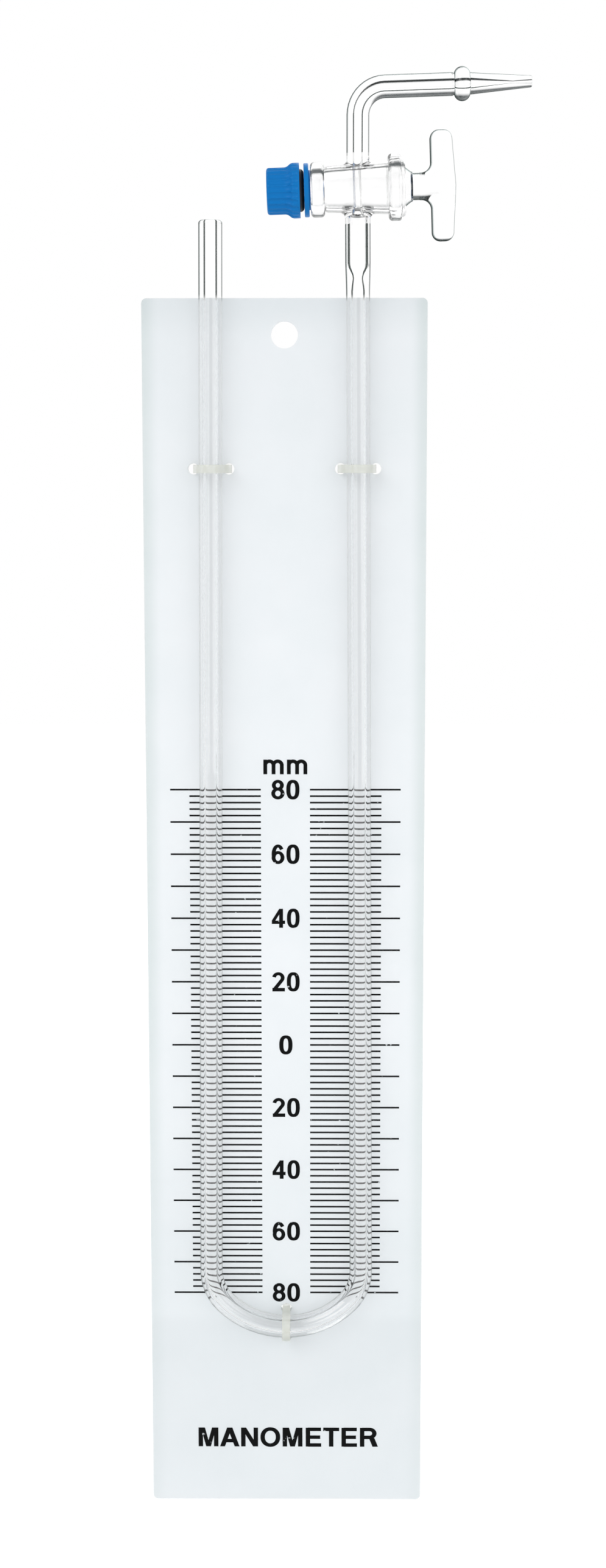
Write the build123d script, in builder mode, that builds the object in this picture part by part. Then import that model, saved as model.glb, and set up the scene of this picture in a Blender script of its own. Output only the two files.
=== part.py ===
from build123d import *
from math import cos, radians, sin, tan
import os

os.makedirs("parts", exist_ok=True)

# A laboratory U-tube manometer: a blown glass U-tube with a stopcock, tied to a hanging board.
# Millimetres. The board hangs upright: +Z is up and the printed front faces -Y. The origin is
# the centre of the hanging hole, where its axis meets the back of the board.

# Board: a sheet of acrylic
board_width = 85.0
board_height = 376.0
board_thickness = 3.0
board_corner_radius = 1.5
hanging_hole_radius = 4.0
hanging_hole_from_top = 10.7

# U-tube: one length of thick-walled tube, bent by hand, so that its limbs lean in a little
tube_radius = 3.5
tube_bore_radius = 1.65
limb_spacing = 46.7  # between the limbs' centre lines where the bend begins
limb_lean = 0.3  # degrees from upright
bend_above_board_bottom = 58.9  # from the board's lower edge to the centre line at the foot of the bend
bend_corner_radius = 14.5
bend_corner_angle = 45.0  # how far each corner turns before the flatter foot begins
open_end_above_board = 22.2
rim_radius = 0.9  # melted round in the flame
bore_rim_radius = 0.4

# Arm between the right limb and the barrel, welded on
arm_radius = 3.72
arm_bore_radius = 2.5
arm_bore_taper = 0.6  # where the bore closes in on the barrel's port
weld_bore_radius = 1.3  # the bore is pinched where the two tubes are melted together
weld_length = 8.0
weld_below_barrel = 25.4
weld_fillet = 1.6  # of melted glass where an arm meets the barrel

# Barrel: a short ground tube across the arm, with a bead at each mouth
barrel_above_board = 31.2
barrel_tilt = 1.8  # degrees, rising to the handle's side
barrel_length = 27.7
barrel_small_radius = 6.55  # outside, beside the small bead
barrel_large_radius = 7.55  # outside, beside the large bead
small_bead_radius = 7.9
small_bead_length = 4.1
large_bead_radius = 9.6
large_bead_length = 3.8
bead_edge_radius = 1.2
bead_groove_depth = 0.35
bead_groove_length = 0.9
mouth_lip_radius = 8.45
mouth_lip_length = 1.15
mouth_lip_edge = 0.7

# Key: a solid ground plug that turns in the barrel, with a cross bore and a T-shaped handle
key_radius = 5.45  # on the tube's centre line
taper_per_side = 0.05  # 1 in 10 on the diameter
key_clearance = 0.04
key_bore_radius = 1.25  # and of the two ports in the barrel
key_recess = 0.65  # from the small mouth back to the plug's end
key_run_out = 1.0  # from the large mouth back to where the grinding ends
shoulder_radius = 5.7
shoulder_length = 2.2
neck_radius = 3.83
neck_step = 0.3
shoulder_slope = 0.4  # inward for each 1 along, where the shoulder ends
neck_length = 5.3
handle_length = 31.8
handle_depth = 6.4
handle_mid_width = 7.45
handle_end_width = 6.4
handle_edge_radius = 2.4
handle_web_radius = 2.8
handle_corner_radius = 2.6
handle_root_length = 0.4  # of the neck's side pressed flat with the handle, before the webs begin

# Fittings on the key's threaded stub, which draw the key home
stub_radius = 3.0
stub_clearance = 0.1
stub_recess = 1.0  # from the nut's outer face back to the stub's end
seat_clearance = 0.05
washer_radius = 7.7
washer_thickness = 1.4
washer_hub_radius = 5.7
washer_hub_length = 0.4
washer_edge_radius = 0.3
o_ring_radius = 6.15  # outside
o_ring_section_radius = 1.2
o_ring_standout = 1.3  # how much of its section shows between washer and nut
nut_length = 9.65
nut_radius = 6.7
nut_collar_radius = 7.9
nut_flare_length = 2.9
nut_collar_length = 1.6
nut_end_radius = 0.8
flute_count = 24
flute_radius = 1.2
flute_depth = 0.3
flute_run_in = 1.2  # over which a flute fades in from the nut's outer end
flute_run_out = 1.0  # and out again on the collar

# Outlet: capillary tube bent over towards the hose, with a bead to stop the hose
outlet_radius = 3.3
outlet_bore_radius = 1.2
outlet_above_barrel = 29.0
outlet_bend_radius = 8.0
outlet_rise = 1.8  # degrees
outlet_run = 19.7
hose_groove_length = 0.5  # between the tube's end and the bead
hose_groove_depth = 0.25
hose_bead_radius = 4.9
hose_bead_length = 4.7
nozzle_radius = 3.1
nozzle_tip_radius = 1.65
nozzle_length = 17.9
nozzle_pinch_bore_radius = 0.25  # the bore is drawn down with the nozzle, and opens again a little to the tip
nozzle_pinch_length = 12.3  # from the bead to the narrowest place
nozzle_tip_bore_radius = 0.45
nozzle_tip_edge = 0.3

# Cable ties: two hold the limbs below the hanging hole, one holds the foot of the bend
tie_width = 2.5
tie_thickness = 1.0
tie_bend_radius = 0.6
tie_clearance = 0.1
tie_hole_radius = 1.65
tie_hole_shift = 0.4  # of the strap off the middle of its hole, pulled by the closed loop
side_tie_below_hole = 39.5
side_tie_hole_offset = 5.3
bottom_tie_hole_offset = 4.6
tie_head_length = 4.6
tie_head_width = 4.4
tie_head_height = 3.3
tie_head_edge = 0.5
tie_tail_length = 1.2

# How far cuts and joined solids run past the faces that they meet
overrun = 1.0

# The tube lies on the board's front face, and everything made of glass shares its middle plane.
board_top = hanging_hole_from_top
bend_below_hole = board_height - hanging_hole_from_top - bend_above_board_bottom
tube_y = -(board_thickness + tube_radius)
glass_plane = Plane.XZ.offset(-tube_y)

# The bend is three arcs in a row. The foot's radius is what makes the corners meet the limbs.
lean = radians(limb_lean)
corner = radians(bend_corner_angle)
foot_radius = (limb_spacing / 2 - bend_corner_radius * (cos(lean) - cos(corner))) / cos(corner)
bend_top_z = (
    -bend_below_hole + foot_radius * (1 - sin(corner)) + bend_corner_radius * (sin(lean) + sin(corner))
)


def limb_x(z):
    """Distance of a limb's centre line from the middle of the board at height z."""
    return limb_spacing / 2 - (z - bend_top_z) * tan(lean)


open_end_z = board_top + open_end_above_board
barrel_z = board_top + barrel_above_board
weld_z = barrel_z - weld_below_barrel
weld_foot_z = weld_z - weld_length / 2

# Planes of the head: one along the right limb and one along the barrel
barrel_x = limb_x(barrel_z)
barrel_centre = Vector(barrel_x, tube_y, barrel_z)
tilt = radians(barrel_tilt)
barrel_plane = Plane(origin=barrel_centre, x_dir=(cos(tilt), 0, sin(tilt)), z_dir=(0, -1, 0))
barrel_axis = Axis(barrel_centre, barrel_plane.x_dir)
weld_foot = Vector(limb_x(weld_foot_z), tube_y, weld_foot_z)
arm_plane = Plane(origin=weld_foot, x_dir=(cos(lean), 0, sin(lean)), z_dir=(0, -1, 0))
arm_axis = Axis(weld_foot, arm_plane.y_dir)
arm_reach = (barrel_z - weld_foot_z) / cos(lean)

# Positions along the barrel, counted from the limb's centre line towards the handle
barrel_half = barrel_length / 2
small_bead_end = -barrel_half + small_bead_length
body_start = small_bead_end + bead_groove_length
mouth_lip_start = barrel_half - mouth_lip_length
large_bead_start = mouth_lip_start - large_bead_length
shoulder_end = barrel_half + shoulder_length
handle_start = shoulder_end + neck_length
key_small_end = -barrel_half + key_recess
washer_face = -barrel_half - seat_clearance
washer_back = washer_face - washer_hub_length - washer_thickness
nut_face = washer_back - o_ring_standout
nut_end = nut_face - nut_length
nut_flare_end = nut_face - nut_collar_length
nut_flare_start = nut_flare_end - nut_flare_length
o_ring_centre = washer_back - seat_clearance - o_ring_section_radius
nut_recess_floor = o_ring_centre - o_ring_section_radius - seat_clearance
stub_end = nut_end + stub_recess
key_large_end = barrel_half - key_run_out


def key_radius_at(s):
    """Radius of the key's ground taper at a distance s along the barrel."""
    return key_radius + taper_per_side * s


# Backboard: a flat sheet with a hole to hang it by and a pair of holes for each cable tie
side_tie_z = -side_tie_below_hole
side_tie_x = limb_x(side_tie_z)
board_bottom_offset = board_height / 2 - board_top

with BuildPart() as backboard:
    with BuildSketch(Plane.XZ):
        with Locations((0, -board_bottom_offset)):
            RectangleRounded(board_width, board_height, board_corner_radius)
        Circle(hanging_hole_radius, mode=Mode.SUBTRACT)
        with Locations(
            (-side_tie_x - side_tie_hole_offset, side_tie_z),
            (-side_tie_x + side_tie_hole_offset, side_tie_z),
            (side_tie_x - side_tie_hole_offset, side_tie_z),
            (side_tie_x + side_tie_hole_offset, side_tie_z),
            (0, -bend_below_hole - bottom_tie_hole_offset),
            (0, -bend_below_hole + bottom_tie_hole_offset),
        ):
            Circle(tie_hole_radius, mode=Mode.SUBTRACT)
    extrude(amount=board_thickness)

backboard.part.label = "backboard"
export_step(backboard.part, "parts/backboard.step")

# Glass U-tube: first everything that is solid outside, then the bores are taken out of it
with BuildPart() as glass_u_tube:
    with BuildLine(glass_plane) as u_path:
        left_limb = Line((-limb_x(open_end_z), open_end_z), (-limb_x(bend_top_z), bend_top_z))
        left_corner = JernArc(
            left_limb @ 1, left_limb % 1, bend_corner_radius, bend_corner_angle + limb_lean
        )
        foot = JernArc(left_corner @ 1, left_corner % 1, foot_radius, 180 - 2 * bend_corner_angle)
        right_corner = JernArc(foot @ 1, foot % 1, bend_corner_radius, bend_corner_angle + limb_lean)
        right_limb = Line(right_corner @ 1, weld_foot)
    with BuildSketch(Plane(origin=u_path.line @ 0, z_dir=u_path.line % 0)):
        Circle(tube_radius)
    sweep(path=u_path.line)

    # The open end is melted round, outside and round the bore
    open_end = glass_u_tube.faces().sort_by(Axis.Z)[-1]
    fillet(open_end.edges(), rim_radius)

    # Arm: the tube swells to the arm's thickness at the weld and runs on into the barrel
    with BuildSketch(arm_plane):
        with BuildLine():
            Polyline((0, arm_reach), (0, 0), (tube_radius, 0))
            Spline((tube_radius, 0), (arm_radius, weld_length), tangents=((0, 1), (0, 1)))
            Polyline((arm_radius, weld_length), (arm_radius, arm_reach), (0, arm_reach))
        make_face()
    revolve(axis=arm_axis)

    # Barrel, with its beads and the lip round its large mouth
    with BuildSketch(barrel_plane):
        with BuildLine():
            FilletPolyline(
                (-barrel_half, 0),
                (-barrel_half, small_bead_radius),
                (small_bead_end, small_bead_radius),
                (small_bead_end, barrel_small_radius - bead_groove_depth),
                (body_start, barrel_small_radius),
                (large_bead_start, barrel_large_radius),
                (large_bead_start, large_bead_radius),
                (mouth_lip_start, large_bead_radius),
                (mouth_lip_start, mouth_lip_radius),
                (barrel_half, mouth_lip_radius),
                (barrel_half, 0),
                radius=(
                    0,
                    bead_edge_radius,
                    bead_edge_radius,
                    0,
                    0,
                    0,
                    bead_edge_radius,
                    mouth_lip_edge,
                    0,
                    mouth_lip_edge,
                    0,
                ),
                close=True,
            )
        make_face()
    revolve(axis=barrel_axis)

    # Outlet: up from the barrel, over in one bend and out to the bead
    with BuildLine(glass_plane) as outlet_path:
        rise = Line(
            (barrel_x, barrel_z),
            (barrel_x, barrel_z + outlet_above_barrel - outlet_bend_radius),
        )
        over = JernArc(rise @ 1, rise % 1, outlet_bend_radius, outlet_rise - 90)
        run = Line(over @ 1, over @ 1 + over % 1 * outlet_run)
    with BuildSketch(Plane(origin=outlet_path.line @ 0, z_dir=outlet_path.line % 0)):
        Circle(outlet_radius)
    sweep(path=outlet_path.line)

    # Melted glass fills the corners where the two arms meet the barrel
    weld_edges = (
        glass_u_tube.edges()
        .filter_by(GeomType.BSPLINE)
        .filter_by(lambda edge: abs(edge.center().Z - barrel_z) < barrel_large_radius)
    )
    fillet(weld_edges, weld_fillet)

    # Hose bead and tapered nozzle, on the outlet's own line
    nozzle_start = hose_groove_length + hose_bead_length
    nozzle_tip = nozzle_start + nozzle_length
    nozzle_plane = Plane(origin=outlet_path.line @ 1, x_dir=outlet_path.line % 1, z_dir=(0, -1, 0))
    with BuildSketch(nozzle_plane) as nozzle_profile:
        with BuildLine():
            Polyline(
                (-overrun, 0),
                (-overrun, outlet_radius),
                (0, outlet_radius),
                (hose_groove_length, outlet_radius - hose_groove_depth),
            )
            ThreePointArc(
                (hose_groove_length, outlet_radius - hose_groove_depth),
                (hose_groove_length + hose_bead_length / 2, hose_bead_radius),
                (nozzle_start, nozzle_radius),
            )
            Polyline(
                (nozzle_start, nozzle_radius),
                (nozzle_tip, nozzle_tip_radius),
                (nozzle_tip, 0),
                (-overrun, 0),
            )
        make_face()
        tip_corners = nozzle_profile.vertices().group_by(Axis.X)[-1]
        fillet(tip_corners.sort_by(Axis.Y)[-1], nozzle_tip_edge)
    nozzle_axis = Axis(nozzle_plane.origin, nozzle_plane.x_dir)
    revolve(axis=nozzle_axis)

    # Bore of the U-tube, up to the weld
    with BuildSketch(Plane(origin=u_path.line @ 0, z_dir=u_path.line % 0)):
        Circle(tube_bore_radius)
    sweep(path=u_path.line, mode=Mode.SUBTRACT)
    round_edges = glass_u_tube.edges().filter_by(GeomType.CIRCLE)
    fillet(round_edges.sort_by_distance(u_path.line @ 0)[0], bore_rim_radius)

    # Bore of the arm, pinched at the weld and closed in again at the barrel
    port_reach = arm_reach - barrel_large_radius
    with BuildSketch(arm_plane):
        with BuildLine():
            Polyline((0, arm_reach), (0, 0), (tube_bore_radius, 0))
            Spline(
                (tube_bore_radius, 0),
                (weld_bore_radius, weld_length / 2),
                (arm_bore_radius, weld_length),
                tangents=((0, 1), (0, 1)),
            )
            Polyline(
                (arm_bore_radius, weld_length),
                (arm_bore_radius, port_reach - arm_bore_taper),
                (key_bore_radius, port_reach),
                (key_bore_radius, arm_reach),
                (0, arm_reach),
            )
        make_face()
    revolve(axis=arm_axis, mode=Mode.SUBTRACT)

    # Bore of the outlet, even as far as the bead and then drawn down towards the nozzle's tip
    with BuildLine(glass_plane) as outlet_bore_path:
        Line(rise @ 0, rise @ 1)
        JernArc(rise @ 1, rise % 1, outlet_bend_radius, outlet_rise - 90)
        Line(run @ 0, run @ 1 + run % 1 * overrun)
    with BuildSketch(Plane(origin=outlet_bore_path.line @ 0, z_dir=outlet_bore_path.line % 0)):
        Circle(outlet_bore_radius)
    sweep(path=outlet_bore_path.line, mode=Mode.SUBTRACT)
    with BuildSketch(nozzle_plane):
        with BuildLine():
            Polyline(
                (0, 0),
                (0, outlet_bore_radius),
                (nozzle_start, outlet_bore_radius),
                (nozzle_start + nozzle_pinch_length, nozzle_pinch_bore_radius),
                (nozzle_tip, nozzle_tip_bore_radius),
                (nozzle_tip + overrun, nozzle_tip_bore_radius),
                (nozzle_tip + overrun, 0),
                close=True,
            )
        make_face()
    revolve(axis=nozzle_axis, mode=Mode.SUBTRACT)

    # Ground seat for the key, right through the barrel
    seat_reach = barrel_half + overrun
    with BuildSketch(barrel_plane):
        with BuildLine():
            Polyline(
                (-seat_reach, 0),
                (-seat_reach, key_radius_at(-seat_reach) + key_clearance),
                (seat_reach, key_radius_at(seat_reach) + key_clearance),
                (seat_reach, 0),
                close=True,
            )
        make_face()
    revolve(axis=barrel_axis, mode=Mode.SUBTRACT)

glass_u_tube.part.label = "glass_u_tube"
export_step(glass_u_tube.part, "parts/glass_u_tube.step")

# Stopcock key: the pressed T-handle first, then the turned plug, shoulder, neck and stub on the barrel's axis
handle_root = handle_start - handle_web_radius - handle_root_length
key_bore_plane = Plane(origin=barrel_centre, z_dir=barrel_plane.y_dir)

with BuildPart() as stopcock_key:
    with BuildSketch(barrel_plane):
        with BuildLine():
            FilletPolyline(
                (handle_root, neck_radius),
                (handle_start, neck_radius),
                (handle_start, handle_length / 2),
                (handle_start + handle_end_width, handle_length / 2),
                (handle_start + handle_mid_width, 0),
                (handle_start + handle_end_width, -handle_length / 2),
                (handle_start, -handle_length / 2),
                (handle_start, -neck_radius),
                (handle_root, -neck_radius),
                radius=(
                    0,
                    handle_web_radius,
                    handle_corner_radius,
                    handle_corner_radius,
                    0,
                    handle_corner_radius,
                    handle_corner_radius,
                    handle_web_radius,
                    0,
                ),
                close=True,
            )
        make_face()
    extrude(amount=handle_depth / 2, both=True)
    # Every edge of the two flat faces is rounded but the first of each, which ends up inside the neck
    flat_edges = stopcock_key.faces().filter_by(Axis.Y).edges()
    fillet(flat_edges.sort_by(barrel_axis)[2:], handle_edge_radius)

    with BuildSketch(barrel_plane):
        with BuildLine():
            Polyline(
                (handle_start + handle_edge_radius, 0),
                (stub_end, 0),
                (stub_end, stub_radius),
                (key_small_end, stub_radius),
                (key_small_end, key_radius_at(key_small_end)),
                (key_large_end, key_radius_at(key_large_end)),
            )
            Spline(
                (key_large_end, key_radius_at(key_large_end)),
                (barrel_half, shoulder_radius),
                (shoulder_end, neck_radius + neck_step),
                tangents=((1, -taper_per_side), (1, -shoulder_slope)),
            )
            Polyline(
                (shoulder_end, neck_radius + neck_step),
                (shoulder_end, neck_radius),
                (handle_start + handle_edge_radius, neck_radius),
                (handle_start + handle_edge_radius, 0),
            )
        make_face()
    revolve(axis=barrel_axis)
    with BuildSketch(key_bore_plane):
        Circle(key_bore_radius)
    extrude(amount=key_radius_at(barrel_half), both=True, mode=Mode.SUBTRACT)

stopcock_key.part.label = "stopcock_key"
export_step(stopcock_key.part, "parts/stopcock_key.step")

# Retaining washer: a plastic disc with a hub that bears on the barrel's small mouth
fitting_bore = stub_radius + stub_clearance

with BuildPart() as retaining_washer:
    with BuildSketch(barrel_plane):
        with BuildLine():
            FilletPolyline(
                (washer_back, fitting_bore),
                (washer_back, washer_radius),
                (washer_back + washer_thickness, washer_radius),
                (washer_back + washer_thickness, washer_hub_radius),
                (washer_face, washer_hub_radius),
                (washer_face, fitting_bore),
                radius=(0, washer_edge_radius, washer_edge_radius, 0, 0, 0),
                close=True,
            )
        make_face()
    revolve(axis=barrel_axis)

retaining_washer.part.label = "retaining_washer"
export_step(retaining_washer.part, "parts/retaining_washer.step")

# O-ring: half sunk in the nut's recess, it keeps the key sprung against its seat
with BuildPart() as o_ring:
    with BuildSketch(barrel_plane):
        with Locations((o_ring_centre, o_ring_radius - o_ring_section_radius)):
            Circle(o_ring_section_radius)
    revolve(axis=barrel_axis)

o_ring.part.label = "o_ring"
export_step(o_ring.part, "parts/o_ring.step")

# Retaining nut: a moulded cap nut whose side sweeps out to a collar in an S of two equal arcs
def nut_flare(outward):
    """The two arcs from the nut's side to its collar, drawn a distance outward of them."""
    start = (nut_flare_start, nut_radius + outward)
    middle = ((nut_flare_start + nut_flare_end) / 2, (nut_radius + nut_collar_radius) / 2 + outward)
    end = (nut_flare_end, nut_collar_radius + outward)
    hollow = TangentArc(start, middle, tangent=(1, 0))
    TangentArc(middle, end, tangent=hollow % 1)


# Cutter for one flute, drawn beside the X axis: a round bar that follows the nut's side and flare, and
# leaves them at both ends
flute_line = flute_radius - flute_depth

with BuildPart() as flute_cutter:
    with BuildLine() as flute_path:
        TangentArc(
            (nut_end + flute_run_in, nut_radius + flute_line),
            (nut_end, nut_radius + flute_radius),
            tangent=(-1, 0),
        )
        Line((nut_end + flute_run_in, nut_radius + flute_line), (nut_flare_start, nut_radius + flute_line))
        nut_flare(flute_line)
        TangentArc(
            (nut_flare_end, nut_collar_radius + flute_line),
            (nut_flare_end + flute_run_out, nut_collar_radius + flute_radius),
            tangent=(1, 0),
        )
    with BuildSketch(Plane(origin=flute_path.line @ 0, z_dir=flute_path.line % 0)):
        Circle(flute_radius)
    sweep(path=flute_path.line)

with BuildPart() as retaining_nut:
    with BuildSketch(barrel_plane):
        with BuildLine():
            FilletPolyline(
                (nut_end, fitting_bore),
                (nut_end, nut_radius),
                (nut_flare_start, nut_radius),
                radius=nut_end_radius,
            )
            nut_flare(0)
            Polyline(
                (nut_flare_end, nut_collar_radius),
                (nut_face, nut_collar_radius),
                (nut_face, o_ring_radius + stub_clearance),
                (nut_recess_floor, o_ring_radius + stub_clearance),
                (nut_recess_floor, fitting_bore),
                (nut_end, fitting_bore),
            )
        make_face()
    revolve(axis=barrel_axis)
    flutes = [
        barrel_plane * flute_cutter.part.rotate(Axis.X, flute * 360 / flute_count)
        for flute in range(flute_count)
    ]
    add(flutes, mode=Mode.SUBTRACT)

retaining_nut.part.label = "retaining_nut"
export_step(retaining_nut.part, "parts/retaining_nut.step")

# Cable ties: each is one moulding, a strap closed through its own head behind the board
board_back = -board_thickness


def cable_tie(plane, hole_offset):
    """A closed tie. The plane lies across the tube, its x points to the slack side and its y to the front.

    The strap is pulled tight over the tube, round the mouths of its two holes and across the back.
    """
    tight_bend = -(hole_offset - tie_hole_shift - tie_thickness / 2) + tie_bend_radius
    slack_bend = hole_offset + tie_hole_shift - tie_thickness / 2 - tie_bend_radius
    mouth = -tie_clearance
    behind = board_back - tie_clearance + tie_bend_radius
    head_back = board_back - tie_clearance - tie_head_height
    with BuildPart() as tie:
        with BuildSketch(plane):
            with Locations((0, head_back + tie_head_height / 2)):
                Rectangle(tie_head_length, tie_head_height)
        extrude(amount=tie_head_width / 2, both=True)
        fillet(tie.edges(), tie_head_edge)
        for spare, half_width, mode in (
            (tie_thickness, tie_width / 2, Mode.ADD),
            (0, tie_head_width, Mode.SUBTRACT),
        ):
            with BuildSketch(plane):
                with BuildLine():
                    CenterArc((0, tube_radius), tube_radius + tie_clearance + spare, 0, 360)
                    CenterArc((tight_bend, mouth), tie_bend_radius + spare, 0, 360)
                    CenterArc((slack_bend, mouth), tie_bend_radius + spare, 0, 360)
                    CenterArc((tight_bend, behind), tie_bend_radius + spare, 0, 360)
                    CenterArc((slack_bend, behind), tie_bend_radius + spare, 0, 360)
                make_hull()
            extrude(amount=half_width, both=True, mode=mode)
        with BuildSketch(plane):
            with Locations((0, head_back)):
                Rectangle(tie_thickness, 2 * tie_tail_length)
        extrude(amount=tie_width / 2, both=True)
    return tie.part


tie_planes = {
    "tie_left": Plane(origin=(-side_tie_x, board_back, side_tie_z), x_dir=(1, 0, 0), z_dir=(0, 0, -1)),
    "tie_right": Plane(origin=(side_tie_x, board_back, side_tie_z), x_dir=(-1, 0, 0), z_dir=(0, 0, 1)),
    "tie_bottom": Plane(origin=(0, board_back, -bend_below_hole), x_dir=(0, 0, 1), z_dir=(1, 0, 0)),
}
for tie_name, tie_plane in tie_planes.items():
    offset = bottom_tie_hole_offset if tie_name == "tie_bottom" else side_tie_hole_offset
    tie_part = cable_tie(tie_plane, offset)
    tie_part.label = tie_name
    export_step(tie_part, f"parts/{tie_name}.step")
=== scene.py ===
from math import copysign, cos, hypot, radians, sin

import bmesh
import bpy
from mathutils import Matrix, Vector


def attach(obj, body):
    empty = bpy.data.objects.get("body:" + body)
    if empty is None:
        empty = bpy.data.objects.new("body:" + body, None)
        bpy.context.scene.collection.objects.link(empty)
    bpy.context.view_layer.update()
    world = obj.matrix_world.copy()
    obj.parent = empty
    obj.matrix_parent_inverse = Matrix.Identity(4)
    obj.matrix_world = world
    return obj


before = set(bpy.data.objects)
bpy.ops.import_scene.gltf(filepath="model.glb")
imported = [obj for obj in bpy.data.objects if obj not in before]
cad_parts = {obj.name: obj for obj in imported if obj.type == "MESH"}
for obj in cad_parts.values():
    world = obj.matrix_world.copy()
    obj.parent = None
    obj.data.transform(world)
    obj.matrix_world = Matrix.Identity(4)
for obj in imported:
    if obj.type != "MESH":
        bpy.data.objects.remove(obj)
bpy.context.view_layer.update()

scene = bpy.context.scene
scene.view_settings.view_transform = "Standard"

# Camera
# A moderate telephoto lens about 0.7 m in front of the board, a little above its middle and looking
# slightly down, worked out from the printed scale and the corners of the board in the photograph.
PHOTO_HEIGHT_PX = 2576
FOCAL_LENGTH_PX = 3797.2
SENSOR_MM = 36.0
CAMERA_PLACE = (0.01141, -0.70182, -0.03663)
CAMERA_TURN_DEGREES = (82.0, 0.055, 0.486)

camera_data = bpy.data.cameras.new("camera")
camera_data.sensor_width = SENSOR_MM
camera_data.lens = FOCAL_LENGTH_PX / PHOTO_HEIGHT_PX * SENSOR_MM
camera_data.clip_start = 0.05
camera = bpy.data.objects.new("camera", camera_data)
camera.location = CAMERA_PLACE
camera.rotation_euler = [radians(angle) for angle in CAMERA_TURN_DEGREES]
scene.collection.objects.link(camera)
scene.camera = camera


# Studio
# A white room and a white floor well below the hanging board, with three large soft boxes, one of them
# behind. The camera and mirrored rays see a white room. Rays that have passed through glass see it white
# too, except for a dark ceiling.
def linear_colour(hex_code):
    """Linear RGBA of an sRGB hex colour."""
    channels = [int(hex_code[i : i + 2], 16) / 255 for i in (1, 3, 5)]
    linear = [c / 12.92 if c <= 0.04045 else ((c + 0.055) / 1.055) ** 2.4 for c in channels]
    return (*linear, 1.0)


def add_node(tree, kind, inputs=None, **settings):
    """Add a node with its settings, and link or set its inputs by their name or number."""
    node = tree.nodes.new(kind)
    for name, value in settings.items():
        setattr(node, name, value)
    for name, value in (inputs or {}).items():
        if isinstance(value, bpy.types.NodeSocket):
            tree.links.new(value, node.inputs[name])
        else:
            node.inputs[name].default_value = value
    return node


def empty_tree(owner):
    """The node tree of a material or the world, with nothing in it."""
    owner.use_nodes = True
    owner.node_tree.nodes.clear()
    return owner.node_tree


def sees_background(tree):
    """A factor that is 1 for rays that look at the background, directly, mirrored or through glass."""
    path = add_node(tree, "ShaderNodeLightPath")
    mirrored = add_node(
        tree,
        "ShaderNodeMath",
        {0: path.outputs["Is Camera Ray"], 1: path.outputs["Is Glossy Ray"]},
        operation="MAXIMUM",
    )
    through = add_node(
        tree,
        "ShaderNodeMath",
        {0: mirrored.outputs[0], 1: path.outputs["Is Transmission Ray"]},
        operation="MAXIMUM",
    )
    return through.outputs[0]


def set_ramp(ramp, stops):
    """Give a colour ramp its stops, as pairs of a position and a hex colour."""
    elements = ramp.color_ramp.elements
    while len(elements) < len(stops):
        elements.new(1.0)
    for element, (position, hex_code) in zip(elements, stops):
        element.position = position
        element.color = linear_colour(hex_code)


ROOM_LIGHT = 0.62
WHITE = linear_colour("#FFFFFF")

room = bpy.data.worlds.new("white_room")
scene.world = room
tree = empty_tree(room)
lighting = add_node(tree, "ShaderNodeBackground", {"Color": WHITE, "Strength": ROOM_LIGHT})
# Only rays that have passed through glass see this dark ceiling. It was put in for the dark lower edges
# of level glass. It begins about 31 degrees up, and is fully dark from about 43.
CEILING_START = 0.52
CEILING_DARK = 0.68

direction = add_node(tree, "ShaderNodeTexCoord").outputs["Generated"]
upward = add_node(tree, "ShaderNodeSeparateXYZ", {0: direction}).outputs["Z"]
ceiling = add_node(tree, "ShaderNodeValToRGB", {0: upward})
set_ramp(
    ceiling,
    (
        (0.0, "#FFFFFF"),
        (CEILING_START, "#FFFFFF"),
        (CEILING_DARK, "#3C4446"),
        (1.0, "#3C4446"),
    ),
)
through_glass = add_node(tree, "ShaderNodeLightPath").outputs["Is Transmission Ray"]
seen_colour = add_node(
    tree,
    "ShaderNodeMix",
    {0: through_glass, 6: WHITE, 7: ceiling.outputs[0]},
    data_type="RGBA",
)
background = add_node(
    tree, "ShaderNodeBackground", {"Color": seen_colour.outputs[2], "Strength": 1.0}
)
choice = add_node(
    tree,
    "ShaderNodeMixShader",
    {0: sees_background(tree), 1: lighting.outputs[0], 2: background.outputs[0]},
)
add_node(tree, "ShaderNodeOutputWorld", {"Surface": choice.outputs[0]})


def soft_box(name, place, target, size, watts):
    """A square area lamp that faces a point."""
    lamp_data = bpy.data.lights.new(name, "AREA")
    lamp_data.shape = "SQUARE"
    lamp_data.size = size
    lamp_data.energy = watts
    lamp = bpy.data.objects.new(name, lamp_data)
    lamp.location = place
    lamp.rotation_euler = (Vector(target) - Vector(place)).to_track_quat("-Z", "Y").to_euler()
    scene.collection.objects.link(lamp)
    return lamp


OBJECT_MIDDLE = (0.0, 0.0, -0.15)
BOX_SIZE = 1.2
soft_box("soft_box_left", (-1.1, -1.3, 0.9), OBJECT_MIDDLE, BOX_SIZE, 14.0)
soft_box("soft_box_right", (1.2, -1.2, 0.2), OBJECT_MIDDLE, BOX_SIZE, 6.0)
# The box behind lights the back, and neither the camera nor rays through the glass see it
box_behind = soft_box("soft_box_behind", (0.5, 1.3, 1.0), OBJECT_MIDDLE, BOX_SIZE, 12.0)
box_behind.visible_transmission = False
box_behind.visible_camera = False

FLOOR_Z = -0.46
FLOOR_HALF = 3.0
FLOOR_LIFT = 0.45

floor_mesh = bpy.data.meshes.new("floor")
floor_mesh.from_pydata(
    [
        (-FLOOR_HALF, -FLOOR_HALF, FLOOR_Z),
        (FLOOR_HALF, -FLOOR_HALF, FLOOR_Z),
        (FLOOR_HALF, FLOOR_HALF, FLOOR_Z),
        (-FLOOR_HALF, FLOOR_HALF, FLOOR_Z),
    ],
    [],
    [(0, 1, 2, 3)],
)
floor = bpy.data.objects.new("floor", floor_mesh)
scene.collection.objects.link(floor)

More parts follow.
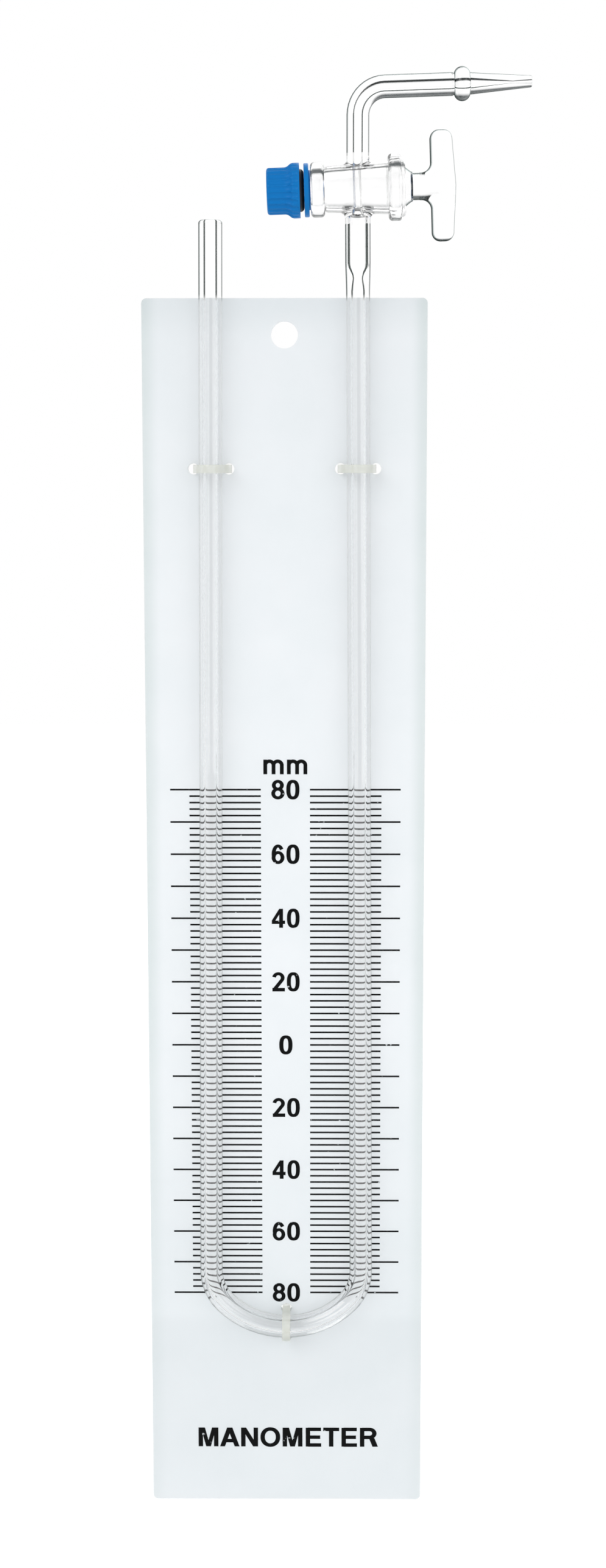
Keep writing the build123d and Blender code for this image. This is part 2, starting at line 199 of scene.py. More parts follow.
# White studio paper: matt, and lifted to white for rays that look at the background
floor_paper = bpy.data.materials.new("white_studio_paper")
tree = empty_tree(floor_paper)
paper = add_node(tree, "ShaderNodeBsdfDiffuse", {"Color": linear_colour("#F4F4F4")})
lift = add_node(tree, "ShaderNodeEmission", {"Strength": FLOOR_LIFT})
lifted = add_node(tree, "ShaderNodeAddShader", {0: paper.outputs[0], 1: lift.outputs[0]})
choice = add_node(
    tree,
    "ShaderNodeMixShader",
    {0: sees_background(tree), 1: paper.outputs[0], 2: lifted.outputs[0]},
)
add_node(tree, "ShaderNodeOutputMaterial", {"Surface": choice.outputs[0]})
floor_mesh.materials.append(floor_paper)

# Backboard
# A sheet of opal white acrylic, cast, sawn and with its edges scraped. Satin on its faces, with the faint
# cloudiness and the slightly darker ends that the photograph shows. The darker ends and sides are painted
# shade.
BOARD_FOOT_Z = -0.3653
BOARD_TOP_Z = 0.0107
BOARD_SIDE_X = 0.0425
SHADE_INNER_X = 0.0372
SHADE_LOW_Z = -0.34
SHADE_HIGH_Z = -0.2
SHADE_AT_FOOT = 0.3
CLOUDS_PER_METRE = 45.0
SCUFFS_PER_METRE = 900.0

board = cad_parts["backboard"]
opal_acrylic = bpy.data.materials.new("opal_acrylic_sheet")
tree = empty_tree(opal_acrylic)
place = add_node(tree, "ShaderNodeTexCoord").outputs["Object"]
where = add_node(tree, "ShaderNodeSeparateXYZ", {0: place})
up_board = add_node(
    tree,
    "ShaderNodeMapRange",
    {"Value": where.outputs["Z"], "From Min": BOARD_FOOT_Z, "From Max": BOARD_TOP_Z},
)
# The board's tone from its foot to its top, set from tones measured in the photograph: the sheet's own
# colour, with painted shade that darkens it towards its foot and its top. A narrow band low down is darker
# still.
tone = add_node(tree, "ShaderNodeValToRGB", {0: up_board.outputs[0]})
set_ramp(
    tone,
    (
        (0.0, "#E4E9EC"),
        (0.13, "#E1E6E9"),
        (0.155, "#E1E6E9"),
        (0.165, "#E5EAED"),
        (0.40, "#EBEFF2"),
        (0.65, "#E9EDF0"),
        (0.85, "#E6EAED"),
        (0.97, "#E3E7EA"),
        (1.0, "#DADFE2"),
    ),
)
# Painted shade: the sheet is darker along its sides, and less so near its foot
aside = add_node(tree, "ShaderNodeMath", {0: where.outputs["X"]}, operation="ABSOLUTE")
near_side = add_node(
    tree,
    "ShaderNodeMapRange",
    {"Value": aside.outputs[0], "From Min": SHADE_INNER_X, "From Max": BOARD_SIDE_X},
    interpolation_type="SMOOTHSTEP",
)
upper_part = add_node(
    tree,
    "ShaderNodeMapRange",
    {
        "Value": where.outputs["Z"],
        "From Min": SHADE_LOW_Z,
        "From Max": SHADE_HIGH_Z,
        "To Min": SHADE_AT_FOOT,
    },
)
painted_side_shade = add_node(
    tree,
    "ShaderNodeMath",
    {0: near_side.outputs[0], 1: upper_part.outputs[0]},
    operation="MULTIPLY",
)
painted_side_shade_colour = add_node(
    tree,
    "ShaderNodeMix",
    {0: painted_side_shade.outputs[0], 6: WHITE, 7: linear_colour("#EDF1EF")},
    data_type="RGBA",
)
clouds = add_node(
    tree,
    "ShaderNodeTexNoise",
    {"Vector": place, "Scale": CLOUDS_PER_METRE, "Detail": 3.0, "Roughness": 0.5},
)
cloud_tone = add_node(tree, "ShaderNodeValToRGB", {0: clouds.outputs[0]})
set_ramp(cloud_tone, ((0.3, "#FBFCFC"), (0.7, "#FFFFFF")))
shaded = add_node(
    tree,
    "ShaderNodeMix",
    {0: 1.0, 6: tone.outputs[0], 7: painted_side_shade_colour.outputs[2]},
    data_type="RGBA",
    blend_type="MULTIPLY",
)
clouded = add_node(
    tree,
    "ShaderNodeMix",
    {0: 1.0, 6: shaded.outputs[2], 7: cloud_tone.outputs[0]},
    data_type="RGBA",
    blend_type="MULTIPLY",
)
scuffs = add_node(
    tree,
    "ShaderNodeTexNoise",
    {"Vector": place, "Scale": SCUFFS_PER_METRE, "Detail": 2.0, "Roughness": 0.6},
)
grain = add_node(
    tree, "ShaderNodeBump", {"Strength": 0.08, "Distance": 0.0001, "Height": scuffs.outputs[0]}
)
sheet = add_node(
    tree,
    "ShaderNodeBsdfPrincipled",
    {
        "Base Color": clouded.outputs[2],
        "Roughness": 0.38,
        "IOR": 1.49,
        "Subsurface Weight": 0.15,
        "Subsurface Radius": (0.004, 0.004, 0.004),
        "Subsurface Scale": 1.0,
        "Normal": grain.outputs[0],
    },
)
add_node(tree, "ShaderNodeOutputMaterial", {"Surface": sheet.outputs[0]})
board.material_slots[0].material = opal_acrylic

# Printed scale
# Black ink screen-printed on the board: two mirrored columns of lines, 2 mm apart, that read 80 mm up
# and down from zero, with numbers between them, the unit above and one plain word below.
INK_FRONT_Y = -0.003012
INK_BACK_Y = -0.00299
SCALE_ZERO_Z = -0.2166
LINE_STEP = 0.002
LINE_COUNT = 81
LINE_THICKNESS = 0.00052
LINE_INNER_X = 0.0075
SHORT_LINE_OUTER_X = 0.02935
LONG_LINE_OUTER_X = 0.0352
LINES_PER_LONG_LINE = 5
INK_GRAINS_PER_METRE = 3000.0
WEAR_PER_METRE = 700.0
CHIP_START = 0.71
CHIP_FULL = 0.73

black_ink = bpy.data.materials.new("screen_printed_black_ink")
tree = empty_tree(black_ink)
place = add_node(tree, "ShaderNodeTexCoord").outputs["Object"]
ink_grain = add_node(
    tree,
    "ShaderNodeTexNoise",
    {"Vector": place, "Scale": INK_GRAINS_PER_METRE, "Detail": 2.0, "Roughness": 0.7},
)
ink_tone = add_node(tree, "ShaderNodeValToRGB", {0: ink_grain.outputs[0]})
set_ramp(ink_tone, ((0.35, "#020303"), (0.75, "#0C0D0E")))
# Handling has chipped the ink in specks smaller than a millimetre
wear = add_node(
    tree,
    "ShaderNodeTexNoise",
    {"Vector": place, "Scale": WEAR_PER_METRE, "Detail": 2.0, "Roughness": 0.5},
)
chips = add_node(
    tree,
    "ShaderNodeMapRange",
    {"Value": wear.outputs[0], "From Min": CHIP_START, "From Max": CHIP_FULL},
)
worn_ink = add_node(
    tree,
    "ShaderNodeMix",
    {0: chips.outputs[0], 6: ink_tone.outputs[0], 7: linear_colour("#B9BEC1")},
    data_type="RGBA",
)
ink = add_node(
    tree,
    "ShaderNodeBsdfPrincipled",
    {"Base Color": worn_ink.outputs[2], "Roughness": 0.6, "Specular IOR Level": 0.08},
)
add_node(tree, "ShaderNodeOutputMaterial", {"Surface": ink.outputs[0]})


def scale_line_tree():
    """Geometry nodes: two columns of lines, one every step, with a longer one at every tenth millimetre."""
    group = bpy.data.node_groups.new("printed_lines", "GeometryNodeTree")
    sockets = {}
    for name, kind in (
        ("Count", "NodeSocketInt"),
        ("Step", "NodeSocketFloat"),
        ("Top", "NodeSocketFloat"),
        ("Inner End", "NodeSocketFloat"),
        ("Short Outer End", "NodeSocketFloat"),
        ("Long Outer End", "NodeSocketFloat"),
        ("Thickness", "NodeSocketFloat"),
        ("Ink Back", "NodeSocketFloat"),
        ("Ink Front", "NodeSocketFloat"),
        ("Lines Per Long Line", "NodeSocketInt"),
        ("Ink", "NodeSocketMaterial"),
    ):
        socket = group.interface.new_socket(name, in_out="INPUT", socket_type=kind)
        sockets[name] = socket.identifier
    group.interface.new_socket("Geometry", in_out="OUTPUT", socket_type="NodeSocketGeometry")
    given = add_node(group, "NodeGroupInput").outputs

    # Each row is a value, the sum that gives it, and the two values that it takes
    values = {name: given[name] for name in sockets}
    values["index"] = add_node(group, "GeometryNodeInputIndex").outputs[0]
    values["mirror"] = -1.0
    values["half"] = 0.5
    for result, operation, first, second in (
        ("drop", "MULTIPLY", "index", "Step"),
        ("height", "SUBTRACT", "Top", "drop"),
        ("over", "MODULO", "index", "Lines Per Long Line"),
        ("is_long", "LESS_THAN", "over", "half"),
        ("reach", "SUBTRACT", "Long Outer End", "Short Outer End"),
        ("extra", "MULTIPLY", "is_long", "reach"),
        ("outer", "ADD", "Short Outer End", "extra"),
        ("length", "SUBTRACT", "outer", "Inner End"),
        ("both_ends", "ADD", "outer", "Inner End"),
        ("middle", "MULTIPLY", "both_ends", "half"),
        ("mirrored_middle", "MULTIPLY", "middle", "mirror"),
        ("depth", "SUBTRACT", "Ink Back", "Ink Front"),
        ("both_faces", "ADD", "Ink Back", "Ink Front"),
        ("depth_middle", "MULTIPLY", "both_faces", "half"),
    ):
        step_node = add_node(
            group, "ShaderNodeMath", {0: values[first], 1: values[second]}, operation=operation
        )
        values[result] = step_node.outputs[0]
    size = add_node(
        group,
        "ShaderNodeCombineXYZ",
        {0: values["length"], 1: values["depth"], 2: values["Thickness"]},
    )
    bar = add_node(group, "GeometryNodeMeshCube", {"Size": (1.0, 1.0, 1.0)})
    both = add_node(group, "GeometryNodeJoinGeometry")
    for middle in ("middle", "mirrored_middle"):
        line = add_node(group, "GeometryNodeMeshLine", {"Count": values["Count"]}, mode="OFFSET")
        spot = add_node(
            group,
            "ShaderNodeCombineXYZ",
            {0: values[middle], 1: values["depth_middle"], 2: values["height"]},
        )
        placed = add_node(
            group,
            "GeometryNodeSetPosition",
            {"Geometry": line.outputs[0], "Position": spot.outputs[0]},
        )
        column = add_node(
            group,
            "GeometryNodeInstanceOnPoints",
            {"Points": placed.outputs[0], "Instance": bar.outputs[0], "Scale": size.outputs[0]},
        )
        group.links.new(column.outputs[0], both.inputs[0])
    real = add_node(group, "GeometryNodeRealizeInstances", {0: both.outputs[0]})
    inked = add_node(
        group, "GeometryNodeSetMaterial", {"Geometry": real.outputs[0], "Material": values["Ink"]}
    )
    add_node(group, "NodeGroupOutput", {0: inked.outputs[0]})
    return group, sockets


def plain_mesh(obj, name):
    """A new object with the plain mesh that an object's modifiers give, in place of that object."""
    graph = bpy.context.evaluated_depsgraph_get()
    mesh = bpy.data.meshes.new_from_object(obj.evaluated_get(graph), depsgraph=graph)
    bpy.data.objects.remove(obj)
    result = bpy.data.objects.new(name, mesh)
    scene.collection.objects.link(result)
    return result


line_tree, line_sockets = scale_line_tree()
line_base = bpy.data.objects.new("line_base", bpy.data.meshes.new("line_base"))
scene.collection.objects.link(line_base)
line_modifier = line_base.modifiers.new("printed_lines", "NODES")
line_modifier.node_group = line_tree
for name, value in (
    ("Count", LINE_COUNT),
    ("Step", LINE_STEP),
    ("Top", SCALE_ZERO_Z + LINE_STEP * (LINE_COUNT - 1) / 2),
    ("Inner End", LINE_INNER_X),
    ("Short Outer End", SHORT_LINE_OUTER_X),
    ("Long Outer End", LONG_LINE_OUTER_X),
    ("Thickness", LINE_THICKNESS),
    ("Ink Back", INK_BACK_Y),
    ("Ink Front", INK_FRONT_Y),
    ("Lines Per Long Line", LINES_PER_LONG_LINE),
    ("Ink", black_ink),
):
    line_modifier[line_sockets[name]] = value
scale_lines = plain_mesh(line_base, "scale_lines")
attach(scale_lines, "board")


def straight(x0, y0, x1, y1, width):
    """A straight stroke with level ends, as pairs of points on its two sides."""
    half = width / 2
    return [((x0 - half, y0), (x0 + half, y0)), ((x1 - half, y1), (x1 + half, y1))], False


def level(x0, x1, middle_y, height):
    """A level bar."""
    low, high = middle_y - height / 2, middle_y + height / 2
    return [((x0, low), (x0, high)), ((x1, low), (x1, high))], False


BOW_STEP_DEGREES = 9


def bow(middle_x, middle_y, reach_x, reach_y, start, end, fullness=2.0):
    """Points round an oval, from one angle to another. A fuller oval is squarer."""
    steps = max(round(abs(end - start) / BOW_STEP_DEGREES), 1)
    points = []
    for index in range(steps + 1):
        turn = radians(start + (end - start) * index / steps)
        across = copysign(abs(cos(turn)) ** (2 / fullness), cos(turn))
        up = copysign(abs(sin(turn)) ** (2 / fullness), sin(turn))
        points.append((middle_x + reach_x * across, middle_y + reach_y * up))
    return points


def curved(points, stem, bar):
    """A stroke along points, as thick as an oval pen draws it: stem across and bar up."""
    pairs = []
    for index, (x, y) in enumerate(points):
        before = points[max(index - 1, 0)]
        after = points[min(index + 1, len(points) - 1)]
        along_x, along_y = after[0] - before[0], after[1] - before[1]
        length = hypot(along_x, along_y)
        out_x, out_y = -along_y / length, along_x / length
        half = hypot(out_x * stem, out_y * bar) / 2
        pairs.append(((x + out_x * half, y + out_y * half), (x - out_x * half, y - out_y * half)))
    return pairs, False


def ring(middle_x, middle_y, reach_x, reach_y, stem, bar, fullness=2.0):
    """A closed oval stroke."""
    outer = bow(middle_x, middle_y, reach_x + stem / 2, reach_y + bar / 2, 0, 360, fullness)
    inner = bow(middle_x, middle_y, reach_x - stem / 2, reach_y - bar / 2, 0, 360, fullness)
    return list(zip(outer, inner))[:-1], True


# Bold sans-serif letters. Each has its width, the room on its left and right, and its strokes, all in
# hundredths of the letter's height.
STEM = 20.7
BAR = 17.0
FIGURE_STEM = 18.6
FIGURE_BAR = 14.5
FIGURE_ROOM = 5.5
LEFT_STEM = straight(STEM / 2, 0, STEM / 2, 100, STEM)
BOWL = [(10, 91.5), (47, 91.5), *bow(47, 70.5, 24.5, 21, 80, -80), (47, 49.5), (10, 49.5)]
HOOK = [*bow(34, 71.5, 23, 21.5, 172, -35), (14, 11)]
ARCH_LEFT = [*bow(42, 62, 29.5, 27, 180, 0), (71.5, 30), (71.5, 0)]
ARCH_RIGHT = [*bow(101, 62, 29.5, 27, 180, 0), (130.5, 30), (130.5, 0)]
LETTERS = {
    "M": (98, 9, 9, [
        LEFT_STEM,
        straight(98 - STEM / 2, 0, 98 - STEM / 2, 100, STEM),
        straight(21, 100, 47.5, 0, 19),
        straight(77, 100, 50.5, 0, 19),
    ]),
    "A": (96.5, 0.5, 0.5, [
        straight(11.5, 0, 47.5, 100, 23),
        straight(85, 0, 49, 100, 23),
        level(25, 72, 30.5, BAR),
    ]),
    "N": (83.5, 9, 9, [
        LEFT_STEM,
        straight(83.5 - STEM / 2, 0, 83.5 - STEM / 2, 100, STEM),
        straight(12, 100, 71.5, 0, 23),
    ]),
    "O": (98, 4.5, 4.5, [ring(49, 50, 38.5, 42.7, STEM, BAR, 2.15)]),
    "E": (77, 9, 6.5, [
        LEFT_STEM,
        level(10, 76, 91.5, BAR),
        level(10, 72, 50, BAR),
        level(10, 77, 8.5, BAR),
    ]),
    "T": (80, 3.5, 3.5, [straight(40, 0, 40, 100, STEM), level(0, 80, 91.5, BAR)]),
    "R": (89, 9, 1, [
        LEFT_STEM,
        curved(BOWL, STEM, BAR),
        straight(58, 46, 76, 0, 26),
    ]),
    "0": (66.8, FIGURE_ROOM, FIGURE_ROOM, [ring(33.4, 50, 23.4, 43, 20, FIGURE_BAR, 2.5)]),
    "2": (69, FIGURE_ROOM, FIGURE_ROOM, [
        curved(HOOK, FIGURE_STEM, FIGURE_BAR),
        level(2, 69, 8.5, BAR),
    ]),
    "4": (72, FIGURE_ROOM, FIGURE_ROOM, [
        straight(50.3, 0, 50.3, 100, 19.2),
        level(0, 72, 29, 16),
        straight(9, 37, 50, 100, 18),
    ]),
    "6": (66.8, FIGURE_ROOM, FIGURE_ROOM, [
        ring(33.4, 32.6, 23.3, 26, FIGURE_STEM, FIGURE_BAR),
        curved(bow(33.4, 50, 23.3, 43, 35, 200), FIGURE_STEM, FIGURE_BAR),
    ]),
    "8": (66.8, FIGURE_ROOM, FIGURE_ROOM, [
        ring(33.4, 30.2, 24.2, 22.8, FIGURE_STEM, FIGURE_BAR),
        ring(33.4, 72.8, 21, 20.2, FIGURE_STEM, FIGURE_BAR),
    ]),
    "m": (143, 12.5, 12.5, [
        straight(12.5, 0, 12.5, 100, 25),
        curved(ARCH_LEFT, 25, 22),
        curved(ARCH_RIGHT, 25, 22),
    ]),
}


STROKE_LIFT = 0.0000003
INK_SPREAD = 0.00005


def add_stroke(bm, sides, closed, order):
    """A stroke as a closed thin slab of ink, a hair prouder than the stroke that it crosses."""
    rows = []
    front_y = INK_FRONT_Y - order * STROKE_LIFT
    for left, right in sides:
        # Ink spreads a little past the stencil on both sides
        spread = (Vector(left) - Vector(right)).normalized() * INK_SPREAD
        pair = (Vector(left) + spread, Vector(right) - spread)
        front = [bm.verts.new((x, front_y, z)) for x, z in pair]
        back = [bm.verts.new((x, INK_BACK_Y, z)) for x, z in reversed(pair)]
        rows.append(front + back)
    for index in range(len(rows) if closed else len(rows) - 1):
        near, far = rows[index], rows[(index + 1) % len(rows)]
        for corner in range(4):
            after = (corner + 1) % 4
            bm.faces.new((near[corner], near[after], far[after], far[corner]))
    if not closed:
        bm.faces.new(rows[0])
        bm.faces.new(reversed(rows[-1]))


def ink_piece(name, strokes):
    """A printed piece from its strokes, lying on the board's face."""
    bm = bmesh.new()
    for order, (sides, closed) in enumerate(strokes):
        add_stroke(bm, sides, closed, order)
    bmesh.ops.recalc_face_normals(bm, faces=bm.faces)
    mesh = bpy.data.meshes.new(name)
    bm.to_mesh(mesh)
    bm.free()
    mesh.materials.append(black_ink)
    piece = bpy.data.objects.new(name, mesh)
    scene.collection.objects.link(piece)
    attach(piece, "board")


def printed_word(name, words, width, height, middle_x, middle_z):
    """Printed lettering, as wide as measured from its first letter to its last."""
    pen = 0.0
    strokes = []
    for index, letter in enumerate(words):
        letter_width, room_left, room_right, letter_strokes = LETTERS[letter]
        pen += room_left if index else 0.0
        for sides, closed in letter_strokes:
            strokes.append(([[(x + pen, y) for x, y in pair] for pair in sides], closed))
        pen += letter_width + (room_right if index + 1 < len(words) else 0.0)
    placed = []
    for sides, closed in strokes:
        on_board = [
            [
                (middle_x + (x / pen - 0.5) * width, middle_z + (y / 100 - 0.5) * height)
                for x, y in pair
            ]
            for pair in sides
        ]
        placed.append((on_board, closed))
    ink_piece(name, placed)


NUMBER_HEIGHT = 0.00595
NUMBER_WIDTH = 0.0085
ZERO_WIDTH = 0.0040
NUMBER_STEP_MM = 20
NUMBERS_EACH_WAY = 4
MILLIMETRE = 0.001
UNIT_WIDTH = 0.0133
UNIT_HEIGHT = 0.0045
UNIT_Z = -0.1296
WORD_WIDTH = 0.0569
WORD_HEIGHT = 0.0063
WORD_X = 0.0005
WORD_Z = -0.34455

for step in range(-NUMBERS_EACH_WAY, NUMBERS_EACH_WAY + 1):
    reading = abs(step) * NUMBER_STEP_MM
    side = "up" if step >= 0 else "down"
    printed_word(
        f"number_{reading}_{side}",
        str(reading),
        NUMBER_WIDTH if reading else ZERO_WIDTH,
        NUMBER_HEIGHT,
        0.0,
        SCALE_ZERO_Z + step * NUMBER_STEP_MM * MILLIMETRE,
    )
printed_word("unit_mm", "mm", UNIT_WIDTH, UNIT_HEIGHT, 0.0, UNIT_Z)
printed_word("word_manometer", "MANOMETER", WORD_WIDTH, WORD_HEIGHT, WORD_X, WORD_Z)

# Two small dots beside the ends of the bend, where the photograph has dark spots. These are more likely
# the lowest line seen through the glass than dots that the real board has.
DOT_RADIUS = 0.0004
DOT_X = 0.0235
DOT_Z = -0.2986
DOT_END_DEGREES = 80
DOT_STEP_DEGREES = 20

for name, dot_x in (("dot_left", -DOT_X), ("dot_right", DOT_X)):
    chords = []
    for angle in range(-DOT_END_DEGREES, DOT_END_DEGREES + 1, DOT_STEP_DEGREES):
        half = DOT_RADIUS * cos(radians(angle))
        height = DOT_Z + DOT_RADIUS * sin(radians(angle))
        chords.append([(dot_x - half, height), (dot_x + half, height)])
    ink_piece(name, [(chords, False)])

# Glass U-tube
# One piece of clear borosilicate tube, drawn, bent and welded in the flame, so its surfaces are fire
# polished. Only the seat for the key, inside the barrel, is ground to a fine frost.
BARREL_CENTRE = (0.021622, -0.0065, 0.0419)
BARREL_TILT_DEGREES = 1.8
BARREL_HALF = 0.01385
SEAT_RADIUS = 0.0063
BARREL_OUTER_RADIUS = 0.0102
BARREL_LINES = 0.18
BACKED_LINES = 0.1
INKED_LINES = 0.3
SCALE_TOP_LOW_Z = -0.15
SCALE_TOP_HIGH_Z = -0.13
BOARD_EDGE_LOW_Z = 0.0095
BOARD_EDGE_HIGH_Z = 0.0115
TUBE_LEFT_SHIFT = 0.1
RIGHT_SHIFT = -0.05
FROST_ROUGHNESS = 0.15
GLASS_IOR = 1.473


def round_barrel(tree, half_length, radius):
    """A factor that is 1 round the barrel's axis, within a radius and between its two mouths."""
    place = add_node(tree, "ShaderNodeTexCoord").outputs["Object"]
    from_centre = add_node(
        tree, "ShaderNodeVectorMath", {0: place, 1: BARREL_CENTRE}, operation="SUBTRACT"
    )
    along_axis = add_node(
        tree,
        "ShaderNodeVectorRotate",
        {"Vector": from_centre.outputs[0], "Angle": radians(BARREL_TILT_DEGREES)},
        rotation_type="Y_AXIS",
    )
    parts = add_node(tree, "ShaderNodeSeparateXYZ", {0: along_axis.outputs[0]})
    across = add_node(
        tree, "ShaderNodeCombineXYZ", {0: 0.0, 1: parts.outputs[1], 2: parts.outputs[2]}
    )
    distance = add_node(
        tree, "ShaderNodeVectorMath", {0: across.outputs[0]}, operation="LENGTH"
    )
    along = add_node(tree, "ShaderNodeMath", {0: parts.outputs[0]}, operation="ABSOLUTE")
    inside = add_node(
        tree, "ShaderNodeMath", {0: distance.outputs["Value"], 1: radius}, operation="LESS_THAN"
    )
    between = add_node(
        tree, "ShaderNodeMath", {0: along.outputs[0], 1: half_length}, operation="LESS_THAN"
    )
    return add_node(
        tree, "ShaderNodeMath", {0: inside.outputs[0], 1: between.outputs[0]}, operation="MULTIPLY"
    ).outputs[0]


def edge_lines(tree, left_shift):
    """Dark lines painted where the glass turns away, at its outline and along the bore's wall."""
    facing = add_node(tree, "ShaderNodeLayerWeight", {"Blend": 0.5}).outputs["Facing"]
    geometry = add_node(tree, "ShaderNodeNewGeometry")
    # The lines are thicker on the sides that face left, as they are in the photograph
    to_right = add_node(tree, "ShaderNodeSeparateXYZ", {0: geometry.outputs["Normal"]}).outputs["X"]
    thicker = add_node(
        tree,
        "ShaderNodeMapRange",
        {
            "Value": to_right,
            "From Min": -1.0,
            "From Max": 1.0,
            "To Min": left_shift,
            "To Max": RIGHT_SHIFT,
        },
    )
    turned = add_node(
        tree, "ShaderNodeMath", {0: facing, 1: thicker.outputs[0]}, operation="ADD"
    )
    entering = add_node(tree, "ShaderNodeValToRGB", {0: turned.outputs[0]})
    set_ramp(entering, ((0.0, "#FFFFFF"), (0.55, "#FFFFFF"), (0.72, "#A9B1B0"), (0.9, "#4C5654")))
    leaving = add_node(tree, "ShaderNodeValToRGB", {0: facing})
    set_ramp(
        leaving,
        (
            (0.0, "#FFFFFF"),
            (0.20, "#FFFFFF"),
            (0.27, "#39423F"),
            (0.38, "#39423F"),
            (0.46, "#FFFFFF"),
            (1.0, "#FFFFFF"),
        ),
    )
    return add_node(
        tree,
        "ShaderNodeMix",
        {0: geometry.outputs["Backfacing"], 6: entering.outputs[0], 7: leaving.outputs[0]},
        data_type="RGBA",
    ).outputs[2]


def line_strength(tree):
    """How strong the painted lines are: weaker over the board and round the barrel."""
    place = add_node(tree, "ShaderNodeTexCoord").outputs["Object"]
    height = add_node(tree, "ShaderNodeSeparateXYZ", {0: place}).outputs["Z"]
    # They are stronger over the printed scale than over the bare board, as in the photograph
    on_board = add_node(
        tree,
        "ShaderNodeMapRange",
        {
            "Value": height,
            "From Min": SCALE_TOP_LOW_Z,
            "From Max": SCALE_TOP_HIGH_Z,
            "To Min": INKED_LINES,
            "To Max": BACKED_LINES,
        },
    )
    above_board = add_node(
        tree,
        "ShaderNodeMapRange",
        {
            "Value": height,
            "From Min": BOARD_EDGE_LOW_Z,
            "From Max": BOARD_EDGE_HIGH_Z,
            "To Min": on_board.outputs[0],
            "To Max": 1.0,
        },
    )
    off_barrel = add_node(
        tree,
        "ShaderNodeMapRange",
        {
            "Value": round_barrel(tree, BARREL_HALF, BARREL_OUTER_RADIUS),
            "To Min": 1.0,
            "To Max": BARREL_LINES,
        },
    )
    return add_node(
        tree,
        "ShaderNodeMath",
        {0: above_board.outputs[0], 1: off_barrel.outputs[0]},
        operation="MULTIPLY",
    ).outputs[0]


def glass_material(name, ground_half_length, ground_radius, left_shift):
    """Clear borosilicate glass with painted dark lines, and a ground frost inside the barrel."""
    material = bpy.data.materials.new(name)
    tree = empty_tree(material)
    frost = round_barrel(tree, ground_half_length, ground_radius)
    clear = add_node(tree, "ShaderNodeMath", {0: 1.0, 1: frost}, operation="SUBTRACT").outputs[0]
    strength = add_node(
        tree, "ShaderNodeMath", {0: line_strength(tree), 1: clear}, operation="MULTIPLY"
    ).outputs[0]
    colour = add_node(
        tree,
        "ShaderNodeMix",
        {0: strength, 6: WHITE, 7: edge_lines(tree, left_shift)},
        data_type="RGBA",
    ).outputs[2]
    roughness = add_node(
        tree, "ShaderNodeMath", {0: frost, 1: FROST_ROUGHNESS}, operation="MULTIPLY"
    ).outputs[0]
    glass = add_node(
        tree,
        "ShaderNodeBsdfGlass",
        {"Color": colour, "Roughness": roughness, "IOR": GLASS_IOR},
        distribution="MULTI_GGX",
    )
    lets_light_by = add_node(tree, "ShaderNodeBsdfTransparent", {"Color": linear_colour("#F4F4F4")})
    # Light on its way to another surface passes straight through, so that the board is lit evenly
    path = add_node(tree, "ShaderNodeLightPath")
    lighting_ray = add_node(
        tree,
        "ShaderNodeMath",
        {0: path.outputs["Is Shadow Ray"], 1: path.outputs["Is Diffuse Ray"]},
        operation="MAXIMUM",
    )
    shown = add_node(
        tree,
        "ShaderNodeMixShader",
        {0: lighting_ray.outputs[0], 1: glass.outputs[0], 2: lets_light_by.outputs[0]},
    )
    add_node(tree, "ShaderNodeOutputMaterial", {"Surface": shown.outputs[0]})
    return material


glass_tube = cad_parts["glass_u_tube"]
glass_tube.material_slots[0].material = glass_material(
    "fire_polished_borosilicate_glass", BARREL_HALF, SEAT_RADIUS, TUBE_LEFT_SHIFT
)

# Stopcock key
# A solid key of the same glass: pressed T-handle, ground taper that turns in the barrel, and a
# threaded stub under the nut. The taper is frosted, and the rest is clear.
KEY_GROUND_HALF = 0.01285
KEY_LEFT_SHIFT = 0.28

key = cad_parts["stopcock_key"]
key.material_slots[0].material = glass_material(
    "ground_borosilicate_key", KEY_GROUND_HALF, SEAT_RADIUS, KEY_LEFT_SHIFT
)

# Washer and retaining nut
# Injection-moulded polypropylene in a plain blue. The moulded skin is matt, with soft highlights on
# the flutes.
SKIN_GRAINS_PER_METRE = 2500.0

blue_plastic = bpy.data.materials.new("moulded_blue_polypropylene")
tree = empty_tree(blue_plastic)
place = add_node(tree, "ShaderNodeTexCoord").outputs["Object"]
skin = add_node(
    tree,
    "ShaderNodeTexNoise",
    {"Vector": place, "Scale": SKIN_GRAINS_PER_METRE, "Detail": 3.0, "Roughness": 0.6},
)
skin_bump = add_node(
    tree, "ShaderNodeBump", {"Strength": 0.15, "Distance": 0.00005, "Height": skin.outputs[0]}
)
plastic = add_node(
    tree,
    "ShaderNodeBsdfPrincipled",
    {
        "Base Color": linear_colour("#0070B8"),
        "Roughness": 0.45,
        "Specular IOR Level": 0.15,
        "IOR": 1.49,
        "Normal": skin_bump.outputs[0],
    },
)
add_node(tree, "ShaderNodeOutputMaterial", {"Surface": plastic.outputs[0]})
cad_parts["retaining_washer"].material_slots[0].material = blue_plastic
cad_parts["retaining_nut"].material_slots[0].material = blue_plastic

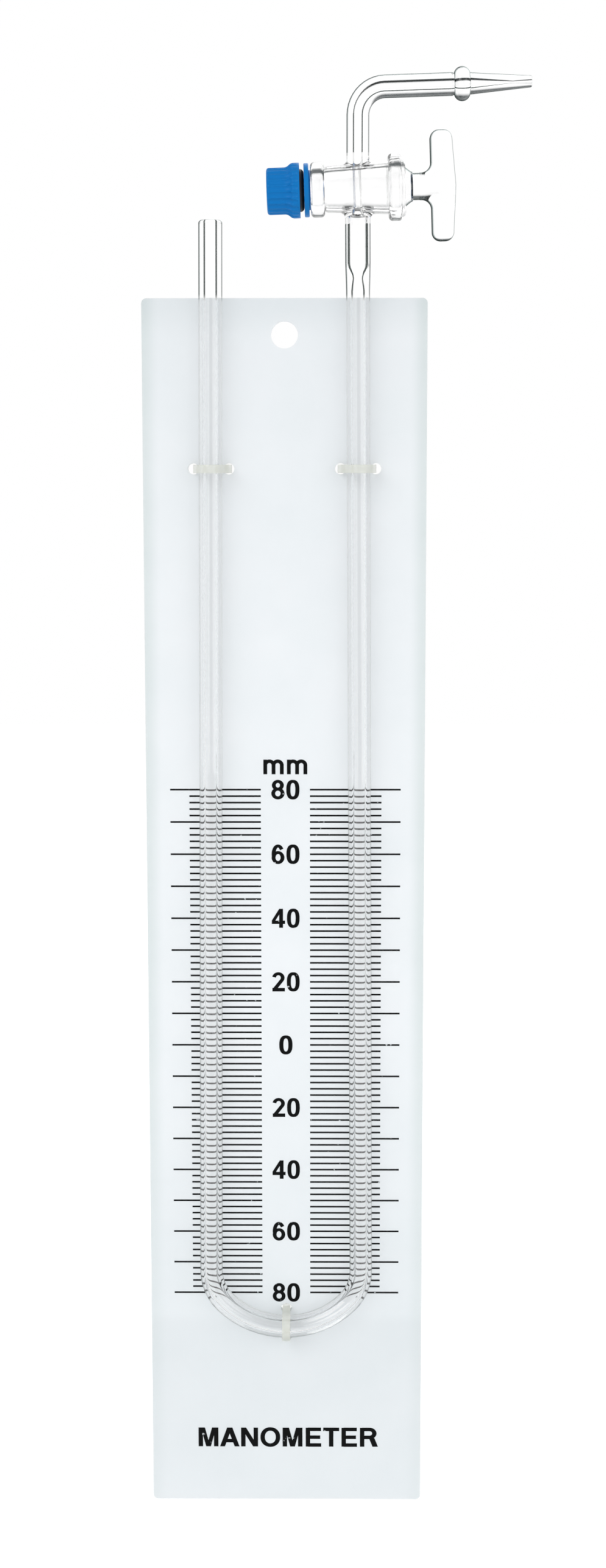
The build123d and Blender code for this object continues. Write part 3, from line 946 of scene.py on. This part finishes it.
# O-ring
# A moulded ring of black nitrile rubber, squeezed between washer and nut.
BLOOM_PER_METRE = 1800.0

black_rubber = bpy.data.materials.new("moulded_nitrile_rubber")
tree = empty_tree(black_rubber)
place = add_node(tree, "ShaderNodeTexCoord").outputs["Object"]
bloom = add_node(
    tree,
    "ShaderNodeTexNoise",
    {"Vector": place, "Scale": BLOOM_PER_METRE, "Detail": 2.0, "Roughness": 0.5},
)
rubber_tone = add_node(tree, "ShaderNodeValToRGB", {0: bloom.outputs[0]})
set_ramp(rubber_tone, ((0.0, "#0C0D10"), (1.0, "#1B1D22")))
rubber = add_node(
    tree, "ShaderNodeBsdfPrincipled", {"Base Color": rubber_tone.outputs[0], "Roughness": 0.55}
)
add_node(tree, "ShaderNodeOutputMaterial", {"Surface": rubber.outputs[0]})
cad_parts["o_ring"].material_slots[0].material = black_rubber

# Cable ties
# Natural nylon, moulded in one piece each, pulled tight through the board. The nylon is milky, and made
# partly see-through so that the tube's lines show behind it.
MILK_PER_METRE = 700.0

nylon = bpy.data.materials.new("natural_moulded_nylon")
tree = empty_tree(nylon)
place = add_node(tree, "ShaderNodeTexCoord").outputs["Object"]
milk = add_node(
    tree,
    "ShaderNodeTexNoise",
    {"Vector": place, "Scale": MILK_PER_METRE, "Detail": 2.0, "Roughness": 0.5},
)
nylon_tone = add_node(tree, "ShaderNodeValToRGB", {0: milk.outputs[0]})
set_ramp(nylon_tone, ((0.0, "#E2E4DA"), (1.0, "#EEF0E8")))
nylon_skin = add_node(
    tree,
    "ShaderNodeBsdfPrincipled",
    {
        "Base Color": nylon_tone.outputs[0],
        "Roughness": 0.35,
        "IOR": 1.53,
        "Alpha": 0.42,
        "Subsurface Weight": 0.3,
        "Subsurface Radius": (0.002, 0.002, 0.002),
        "Subsurface Scale": 1.0,
    },
)
add_node(tree, "ShaderNodeOutputMaterial", {"Surface": nylon_skin.outputs[0]})
for tie in ("tie_left", "tie_right", "tie_bottom"):
    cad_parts[tie].material_slots[0].material = nylon
